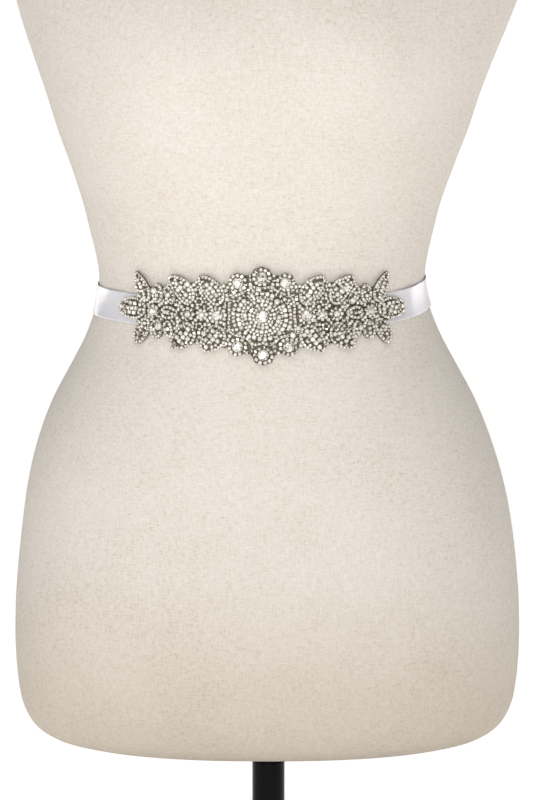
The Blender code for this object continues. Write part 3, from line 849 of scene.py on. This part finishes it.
class StoneField:
    """The small stones of one piece: where each lies and how large it is."""

    def __init__(self, name, outline, turn=0.0):
        self.name = name
        self.rng = random.Random(name)
        self.outline = outline
        self.turn = turn
        self.stones = []
        self.others = list(ACCENTS)

    def row_turn(self, point):
        """The way a row runs there: round the middle where the field has no turn of its own."""
        return self.turn if self.turn is not None else math.atan2(point[1], point[0]) + math.pi / 2

    def room(self, points):
        """How far each point is from the nearest stone, less what that stone is larger than a whole one."""
        laid = self.stones + self.others
        places = np.array([(stone.along, stone.up) for stone in laid])
        extra = np.array([stone.scale - 1 for stone in laid]) * STONE_SCALE
        return (np.linalg.norm(points[:, None] - places[None], axis=2) - extra).min(axis=1)

    def put(self, points, gap=CLOSEST_STONES, scale=1.0, least_inset=EDGE_INSET - 0.1, in_line=False):
        """Puts stones at points in their order, where there is room. Those in line turn with their own row."""
        gap += (scale - 1) * STONE_SCALE
        points = np.asarray(points, float)
        fits = insets(points, self.outline) >= least_inset if len(points) else []
        for i, (point, fit) in enumerate(zip(points, fits)):
            if fit and self.room(point[None])[0] >= gap:
                ahead = points[(i + 1) % len(points)] - points[i - 1]
                turn = math.atan2(ahead[1], ahead[0]) if in_line else self.row_turn(point)
                self.stones.append(Stone(point[0], point[1], scale, turn))

    def put_rim(self):
        """Puts a row of small stones along the edge."""
        row = walk(shrink(self.outline, EDGE_INSET), STONE_PITCH * RIM_SCALE, True)
        self.put(row, CLOSEST_STONES - 0.2, RIM_SCALE, in_line=True)

    def fill(self, scale, spots, depths, gap=CLOSEST_STONES):
        """Puts stones wherever there is still room, nearest the edge first."""
        gap += (scale - 1) * STONE_SCALE
        spots = spots[np.argsort(np.round(depths, 1), kind="stable")]
        free = self.room(spots) >= gap
        gap += (scale - 1) * STONE_SCALE
        while free.any():
            spot = spots[np.argmax(free)]
            self.stones.append(Stone(spot[0], spot[1], scale, self.row_turn(spot)))
            free &= np.linalg.norm(spots - spot, axis=1) >= gap

    def fill_inside(self):
        """Fills what is left of the outline with whole stones, and then with chips."""
        spots = grid_over(self.outline, 0.4)
        depths = insets(spots, self.outline)
        for scale, least in ((1.0, EDGE_INSET), (CHIP_SCALE, CHIP_INSET)):
            deep = depths >= least
            self.fill(scale, spots[deep], depths[deep])

    def vary(self):
        """Makes a few of the stones larger, as hand-set stones are."""
        for i, stone in enumerate(self.stones):
            if stone.scale == 1.0 and self.rng.random() < VARIED_SHARE:
                self.stones[i] = stone._replace(scale=VARIED_SCALE)


# Stones


FACET, CUP_SIDE = 0, 1


def level(sides, *corners, turn=0.0):
    """The corners of one level of a stone. Each pair of radius and height comes round in turn."""
    around = zip(turns(sides) + turn, corners * sides)
    return [(radius * math.cos(angle), radius * math.sin(angle), height) for angle, (radius, height) in around]


def in_cup(sides, levels):
    """A stone's corners, and the faces of its cup's outside and inside and of its crown, side by side."""
    points = np.array([point for corners in levels for point in corners])
    faces, kinds = [], []
    girdle, crown = 3 * sides, 4 * sides
    for i in range(sides):
        j = (i + 1) % sides
        faces += [(low + i, low + j, low + sides + j, low + sides + i) for low in (0, sides)]
        faces += [(girdle + i, girdle + j, crown + i), (girdle + j, crown + j, crown + i)]
        kinds += [CUP_SIDE, CUP_SIDE, FACET, FACET]
    return points, faces, kinds


def small_stone():
    """A faceted stone of 1 mm radius in its cup, whose rim stands up in four claws."""
    sides = 8
    levels = [
        level(sides, (0.98, -0.8)),
        level(sides, (1.03, 0.5), (1.2, 0.84)),
        level(sides, (0.93, 0.50)),
        level(sides, (0.97, 0.53)),
        level(sides, (0.66, 0.96), turn=math.pi / sides),
    ]
    points, faces, kinds = in_cup(sides, levels)
    table = 4 * sides
    for start in (2, 6):
        faces.append(tuple(table + (start + i) % sides for i in range(5)))
        kinds.append(FACET)
    return points, faces, kinds


def large_stone():
    """A brilliant-cut stone of 1 mm radius in a setting with eight claws."""
    sides = 16
    levels = [
        level(sides, (1.08, -0.55)),
        level(sides, (1.10, 0.46), (1.08, 0.12)),
        level(sides, (0.97, 0.12)),
        level(sides, (0.99, 0.14)),
        level(sides, (0.82, 0.36), turn=math.pi / sides),
        level(sides // 2, (0.56, 0.50)),
        [(0.0, 0.0, 0.5)],
    ]
    points, faces, kinds = in_cup(sides, levels)
    crown, table, middle = 4 * sides, 5 * sides, len(points) - 1
    for i in range(sides // 2):
        before, after, second = crown + (2 * i - 1) % sides, crown + 2 * i, crown + 2 * i + 1
        here, then = table + i, table + (i + 1) % (sides // 2)
        faces += [(before, after, here), (after, then, here), (after, second, then), (here, then, middle)]
        kinds += [FACET] * 4
    return points, faces, kinds


SMALL = small_stone()
LARGE = large_stone()

# The shares of facets painted bright as painted glints and of middling ones in a stone. The rest are painted
# dark, as painted shade.
SMALL_MOODS = ((0.93, 0.03), (0.86, 0.04), (0.74, 0.06), (0.62, 0.09), (0.45, 0.15))
# The ground's stones have fewer painted glints: painted shade where they sit low between the pieces.
GROUND_SHADE_MOODS = ((0.75, 0.05), (0.6, 0.1), (0.4, 0.15))
LARGE_MOODS = ((0.62, 0.18),)
GREY_MOODS = ((0.3, 0.4),)
# The quarter turns of a stone's side that is painted dark, its painted shade. Most look along their row.
PAINTED_SHADE_SIDES = (0, 2, 0, 2, 1, 3)


def solid_tree(nodes):
    """A search tree over some of the CAD's pieces, on which stones are seated."""
    corners, faces = [], []
    for solid in [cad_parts[node].data for node in nodes]:
        faces += [tuple(len(corners) + i for i in face.vertices) for face in solid.polygons]
        corners += [vertex.co for vertex in solid.vertices]
    return BVHTree.FromPolygons(corners, faces) if faces else None


class StoneMesh:
    """Gathers the stones of one piece into one mesh, with a painted tone of light and shade for each facet."""

    def __init__(self, word, nodes=()):
        self.name = "stones_" + word
        self.rng = random.Random(self.name)
        self.points, self.faces, self.kinds, self.tones = [], [], [], []
        self.count = 0
        self.tree = solid_tree(nodes)

    def seats(self, stones, lift):
        """Where each stone sits, on the CAD piece or at a lift of its own, and the way out there."""
        along, up = np.array([(stone.along, stone.up) for stone in stones]).reshape(-1, 2).T
        starts, outs = on_belt(along, up, CLEAR_OF_ALL)
        rests, _ = on_belt(along, up, lift)
        for start, out, rest in zip(starts, outs, rests):
            start, out, rest = Vector(start), Vector(out), Vector(rest)
            hit = self.tree.ray_cast(start, -out) if self.tree else (None,)
            if hit[0] is None or (hit[0] - rest).dot(out) < 0:
                yield rest, out
                continue
            normal = hit[1] if hit[1].dot(out) > 0 else -hit[1]
            yield hit[0], (out * 0.6 + normal * 0.4).normalized()

    def tone(self, mood, draw):
        """A facet's painted tone, a painted glint, a middling one or painted shade, from the shares of bright
        and of middling facets in the stone's mood.
        """
        if draw < mood[0]:
            return self.rng.uniform(0.9, 1.0)
        if draw < mood[0] + mood[1]:
            return self.rng.uniform(0.4, 0.75)
        return self.rng.uniform(0.0, 0.15)

    def add(self, template, centre, up_axis, scale, tilt, moods, turn=0.0):
        """Adds a stone. It leans at random by about the tilt, in degrees, and takes one of the moods."""
        points, faces, kinds = template
        side = Vector((0.0, 0.0, 1.0)).cross(up_axis).normalized()
        lean = math.radians(tilt)
        leaned = side * self.rng.gauss(0, lean) + up_axis.cross(side) * self.rng.gauss(0, lean)
        axis = (up_axis + leaned).normalized()
        side = axis.cross(side).cross(axis).normalized()
        turn += math.pi / 2 * self.rng.choice(PAINTED_SHADE_SIDES) + self.rng.gauss(0, 0.12)
        spin = Matrix((side, axis.cross(side), axis)).transposed() @ Matrix.Rotation(turn, 3, "Z")
        self.points.append(points * scale * MM @ np.array(spin).T + np.array(centre))
        mood = self.rng.choice(moods)
        for face, kind in zip(faces, kinds):
            self.faces.append(tuple(self.count + i for i in face))
            self.kinds.append(kind)
            draw = self.rng.random()
            # A small stone is painted bright on one side and dark on the other: a painted highlight and
            # painted shade.
            if template is SMALL:
                middle = points[list(face)].mean(axis=0)
                draw = 0.15 * draw + 0.85 * abs(math.atan2(middle[1], middle[0])) / math.pi
            # The table's facets, and those at the last corner, are more often painted bright, a painted
            # highlight.
            if len(face) == 5 or max(face) == len(points) - 1:
                draw *= 0.8
            self.tones.append(self.tone(mood, draw) if kind == FACET else 0.5)
        self.count += len(points)

    def add_rim(self, outline):
        """A wire soldered round the edge of a piece."""
        line = walk(shrink(outline, RIM_INSET), RIM_STEP, True)
        spots = [Stone(along, up, 1.0) for along, up in line]
        count = len(line)
        for i, (seat, _) in enumerate(self.seats(spots, SMALL_LIFT)):
            _, out = on_belt(line[i][0], line[i][1], 0.0)
            out = Vector(out)
            ahead = line[(i + 1) % count] - line[i - 1]
            flat = Vector((0.0, 0.0, 1.0)) - out * out.z
            side = out.cross(flat).normalized() * -1
            way = (side * ahead[0] + flat * ahead[1]).normalized()
            across = way.cross(out)
            for turn in turns(RIM_SIDES):
                away = out * (math.sin(turn) + 0.5) + across * math.cos(turn)
                self.points.append(np.array([tuple(seat + away * RIM_RADIUS * MM)]))
            here, then = (self.count + at * RIM_SIDES for at in (i, (i + 1) % count))
            for j in range(RIM_SIDES):
                k = (j + 1) % RIM_SIDES
                self.faces.append((here + j, here + k, then + k, then + j))
                self.kinds.append(CUP_SIDE)
                self.tones.append(0.5)
        self.count += count * RIM_SIDES

    def add_small(self, stones, moods=SMALL_MOODS, lift=SMALL_LIFT):
        for stone, (seat, axis) in zip(stones, self.seats(stones, lift)):
            self.add(SMALL, seat, axis, stone.scale * STONE_SCALE, 8.0, moods, stone.turn)

    def add_large(self, along, up, radius, lift, moods):
        """A large stone that stands a set height off the form, clear of the CAD's own bezel."""
        start, out = on_belt(along, up, lift)
        self.add(LARGE, Vector(start), Vector(out), radius, 2.0, moods)

    def finish(self):
        data = plain_data(self.name, np.vstack(self.points), self.faces)
        data.polygons.foreach_set("material_index", self.kinds)
        # The painted light and shade of each facet, which the stone's material reads.
        tone = data.attributes.new("tone", "FLOAT", "FACE")
        tone.data.foreach_set("value", self.tones)
        data.update()
        add_piece(self.name, data, [STONE, CUP])


ALL_STONES = []
ALL_OUTLINES = []


def dress(field, rim=False, lift=SMALL_LIFT, large=None):
    """Puts a field's stones on its piece, some with a wire round the edge and some with a large stone."""
    mesh = StoneMesh(field.name, [field.name])
    if rim:
        mesh.add_rim(field.outline)
    mesh.add_small(field.stones, lift=lift)
    ALL_STONES.extend(field.stones)
    if large:
        mesh.add_large(*large)
        ALL_STONES.append(Stone(large[0], large[1], large[2] / STONE_SCALE))
    mesh.finish()
    ALL_OUTLINES.append(field.outline)


def leaf_stones(leaf, side, word):
    """Stones round a leaf's rim, along its midrib and in slanted rows between."""
    _, axis, across = leaf_line(leaf, side)
    field = StoneField(leaf.name + word, leaf_outline(leaf, side), math.atan2(axis[1], axis[0]))
    field.put_rim()
    broad = leaf.half_width > BROAD_LEAF
    scale, pitch = (BROAD_SCALE, BROAD_PITCH) if broad else (1.0, STONE_PITCH)
    rib = np.array([leaf_point(leaf, side, share, 0) for share in np.linspace(0.04, 0.95, 24)])
    field.put(walk(rib, pitch, False), scale=scale)
    length = np.linalg.norm(axis)
    for row in np.arange(-12, length + 12, pitch * ROW_PITCH):
        for step in range(1, 6):
            far = step * pitch * STEP_PITCH
            share = (row + far * ROW_SLANT) / length
            if 0.0 < share < 1.0:
                middle = leaf_point(leaf, side, share, 0)
                field.put([middle + across * far, middle - across * far], scale=scale)
    field.fill_inside()
    field.vary()
    dress(field, rim=True)


def accent_stones():
    """The larger stones among the small ones, each seated on whichever piece is under it."""
    mesh = StoneMesh("accent", [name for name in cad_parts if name.startswith(APPLIQUE_WORDS)])
    for stone, (seat, _) in zip(ACCENTS, mesh.seats(ACCENTS, ACCENT_LIFT)):
        _, out = on_belt(stone.along, stone.up, 0.0)
        radius = stone.scale * STONE_SCALE
        mesh.add(LARGE, seat + Vector(out) * 0.4 * radius * MM, Vector(out), radius, 4.0, LARGE_MOODS)
    mesh.finish()


def cluster_stones(cluster):
    """A large stone in a ring of small ones, or small ones alone."""
    at = (cluster.along, cluster.up)
    field = StoneField(cluster.name, ring_spots(at, cluster.radius, 48))
    if not cluster.stone:
        field.put_rim()
        field.fill_inside()
        dress(field)
        return
    ring = min(cluster.radius - RING_INSET, cluster.stone + RING_OUT)
    if ring - cluster.stone > LEAST_RING:
        count = round(math.tau * ring / (STONE_PITCH + 0.2))
        spots = ring_spots(at, ring, count, field.rng.uniform(0, 1))
        field.put(spots, gap=RING_GAP, least_inset=0.8, in_line=True)
    lift = CLUSTER_LIFT if cluster.name.startswith("cluster_") else BEAD_LIFT
    # The top cluster's large stone gets fewer painted glints, so it reads grey.
    moods = GREY_MOODS if cluster.name == "cluster_top" else LARGE_MOODS
    dress(field, lift=RING_LIFT, large=(*at, cluster.stone, lift, moods))


def medallion_stones():
    """Rings of stones about the centre stone, out to the scalloped edge."""
    field = StoneField("medallion", medallion_outline(), None)
    field.put_rim()
    for radius, scale in MEDALLION_RINGS:
        count = round(math.tau * radius / (STONE_PITCH * scale + 0.05))
        field.put(ring_spots((0, 0), radius, count, 0.2 * scale), scale=scale)
    field.others.append(Stone(0.0, 0.0, MIDDLE_STONE / STONE_SCALE))
    field.fill_inside()
    field.vary()
    dress(field, rim=True, large=(0.0, 0.0, MIDDLE_STONE, MIDDLE_LIFT, LARGE_MOODS))


# The ground between the leaves


def ground_reach(spots):
    """How wide a gap the ground closes: wide ones in the middle, and narrow ones round the end flowers."""
    along, up = np.abs(spots[:, 0]), np.abs(spots[:, 1])
    middle = (along < 63) | ((up < 10) & (along < 80))
    return np.where(middle, GROUND_REACH, END_REACH)


def ground_depths():
    """How deep each spot lies in the ground between the pieces, and how deep inside a piece."""
    spots = grid_over(np.vstack(ALL_OUTLINES), GROUND_GRID, margin=GROUND_REACH + 2)
    inside = np.full(len(spots), NOWHERE)
    for outline in ALL_OUTLINES:
        low, high = outline.min(axis=0) - GROUND_REACH - 1, outline.max(axis=0) + GROUND_REACH + 1
        near = ((spots > low) & (spots < high)).all(axis=1)
        inside[near] = np.maximum(inside[near], insets(spots[near], outline))
    reach = ground_reach(spots)
    edge_of_air = (inside < -reach) & (inside > -reach - 1.5 * GROUND_GRID)
    open_air, open_reach = spots[edge_of_air], reach[edge_of_air]
    depth = np.full(len(spots), NOWHERE)
    for near in np.array_split(np.flatnonzero(inside > -reach), 40):
        away = np.linalg.norm(spots[near][:, None] - open_air[None], axis=2) - open_reach
        depth[near] = away.min(axis=1) - 0.5 * GROUND_GRID
    return spots, depth, inside


def ground():
    """A thin plate that carries the stones between the leaves, and those stones."""
    spots, depth, inside = ground_depths()
    hole = np.min([np.linalg.norm(spots - np.array(at), axis=1) for at in GROUND_HOLES], axis=0)
    open_spots = (depth >= GROUND_STONE_EDGE) & (hole > GROUND_HOLE_RADIUS + 0.9)
    field = StoneField("ground", None)
    field.others += ALL_STONES
    for scale in (1.0, CHIP_SCALE):
        clear = open_spots & (inside < -GROOVE * scale)
        field.fill(scale, spots[clear], -inside[clear], CLOSEST_STONES - 0.2)
    field.vary()
    mesh = StoneMesh("ground")
    # The ground's stones take the darker moods, as painted shade.
    mesh.add_small(field.stones, GROUND_SHADE_MOODS, GROUND_LIFT)
    mesh.finish()

    keep = (depth >= GROUND_EDGE) & (inside < GROUND_UNDER) & (hole > GROUND_HOLE_RADIUS)
    columns = len(np.unique(spots[:, 0]))
    keep = keep.reshape(-1, columns)
    cells = np.argwhere(keep[:-1, :-1] & keep[1:, :-1] & keep[:-1, 1:] & keep[1:, 1:])
    round_cell = (0, 1, columns + 1, columns)
    corners = [[int(row) * columns + int(column) + step for step in round_cell] for row, column in cells]
    used, faces = np.unique(corners, return_inverse=True)
    points, _ = on_belt(spots[used, 0], spots[used, 1], PLATE_LIFT)
    data = plain_data("ground_plate", points, faces.reshape(-1, 4).tolist())
    data.update()
    # The plate's near-black colour is painted shade in the gaps between the stones.
    plate = add_piece("ground_plate", data, [BACKING])
    thicken(plate, GROUND_THICKNESS)


def applique():
    medallion_stones()
    for cluster in MIDDLE_CLUSTERS:
        cluster_stones(cluster)
    for word, side in (("_left", -1), ("_right", 1)):
        for cluster in SIDE_CLUSTERS:
            cluster_stones(cluster._replace(name=cluster.name + word, along=side * cluster.along))
        for leaf in LEAVES:
            leaf_stones(leaf, side, word)
    ground()
    accent_stones()
    # The CAD pieces under the stones take the same near-black colour, painted shade between the stones.
    for name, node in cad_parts.items():
        if name.startswith(APPLIQUE_WORDS):
            node.data.materials.clear()
            node.data.materials.append(BACKING)


# The studio


def floor():
    bpy.ops.mesh.primitive_grid_add(x_subdivisions=8, y_subdivisions=8, size=60, location=(0, 0, 0))
    plane = bpy.context.object
    plane.name = "studio_floor"
    plane.data.materials.append(floor_material())


def light(name, place, energy, size, aim, spread=180):
    """A square softbox that faces its aim."""
    data = bpy.data.lights.new(name, "AREA")
    data.energy = energy
    data.color = (1.0, 0.992, 0.98)
    data.size = size
    data.spread = math.radians(spread)
    lamp = add_object(name, data)
    lamp.location = place
    lamp.rotation_euler = (Vector(aim) - Vector(place)).to_track_quat("-Z", "Y").to_euler()
    lamp.visible_camera = False


def studio():
    """A white room: soft light overhead, and low strips behind that make the satin gleam."""
    world = bpy.data.worlds.new("studio")
    world.use_nodes = True
    tree = world.node_tree
    dim, seen = tree.nodes["Background"], tree.nodes.new("ShaderNodeBackground")
    for background, strength in ((dim, 0.03), (seen, 1.0)):
        background.inputs["Color"].default_value = (1.0, 1.0, 1.0, 1.0)
        background.inputs["Strength"].default_value = strength
    rays = tree.nodes.new("ShaderNodeLightPath")
    mix = tree.nodes.new("ShaderNodeMixShader")
    tree.links.new(rays.outputs["Is Camera Ray"], mix.inputs[0])
    tree.links.new(dim.outputs[0], mix.inputs[1])
    tree.links.new(seen.outputs[0], mix.inputs[2])
    tree.links.new(mix.outputs[0], tree.nodes["World Output"].inputs["Surface"])
    bpy.context.scene.world = world
    light("top", (-0.05, -0.9, 2.2), 6.6, 1.4, (0, 0, 0.55))
    light("top_front", (0, -1.6, 2.0), 1.85, 1.0, (0, 0, 0.5), spread=90)
    light("left_low", (-1.6, -0.9, 0.3), 0.22, 0.7, (-0.1, 0, 0.36), spread=40)
    light("key", (-0.05, -1.5, 0.72), 0.92, 0.4, (0, 0, 0.5), spread=60)
    light("strip_right", (1.4, 0.9, 0.3), 5.5, 0.8, (0, 0, 0.5))
    light("strip_left", (-1.2, 1.3, 0.3), 2.7, 0.5, (0, 0, 0.5))
    light("back_left", (-1.1, 1.7, 1.7), 2.2, 1.0, (0, 0, 0.6))
    light("back_right", (1.0, 1.8, 1.6), 1.5, 1.0, (0, 0, 0.6))
    bpy.context.scene.view_settings.view_transform = "Standard"


def camera():
    data = bpy.data.cameras.new("camera")
    data.sensor_fit = "VERTICAL"
    data.sensor_height = SENSOR
    data.lens = FOCAL_PIXELS * SENSOR / PHOTO_HEIGHT
    eye = add_object("camera", data)
    eye.location = (CAMERA_SIDE, -CAMERA_BACK, WAIST_HEIGHT + CAMERA_OVER_WAIST)
    eye.rotation_euler = (math.pi / 2 - CAMERA_PITCH, 0, 0)
    bpy.context.scene.camera = eye


def main():
    camera()
    form_skin()
    neck_cap()
    stand()
    ribbon_band()
    ribbon_knot()
    ribbon_tails()
    applique()
    floor()
    studio()


main()
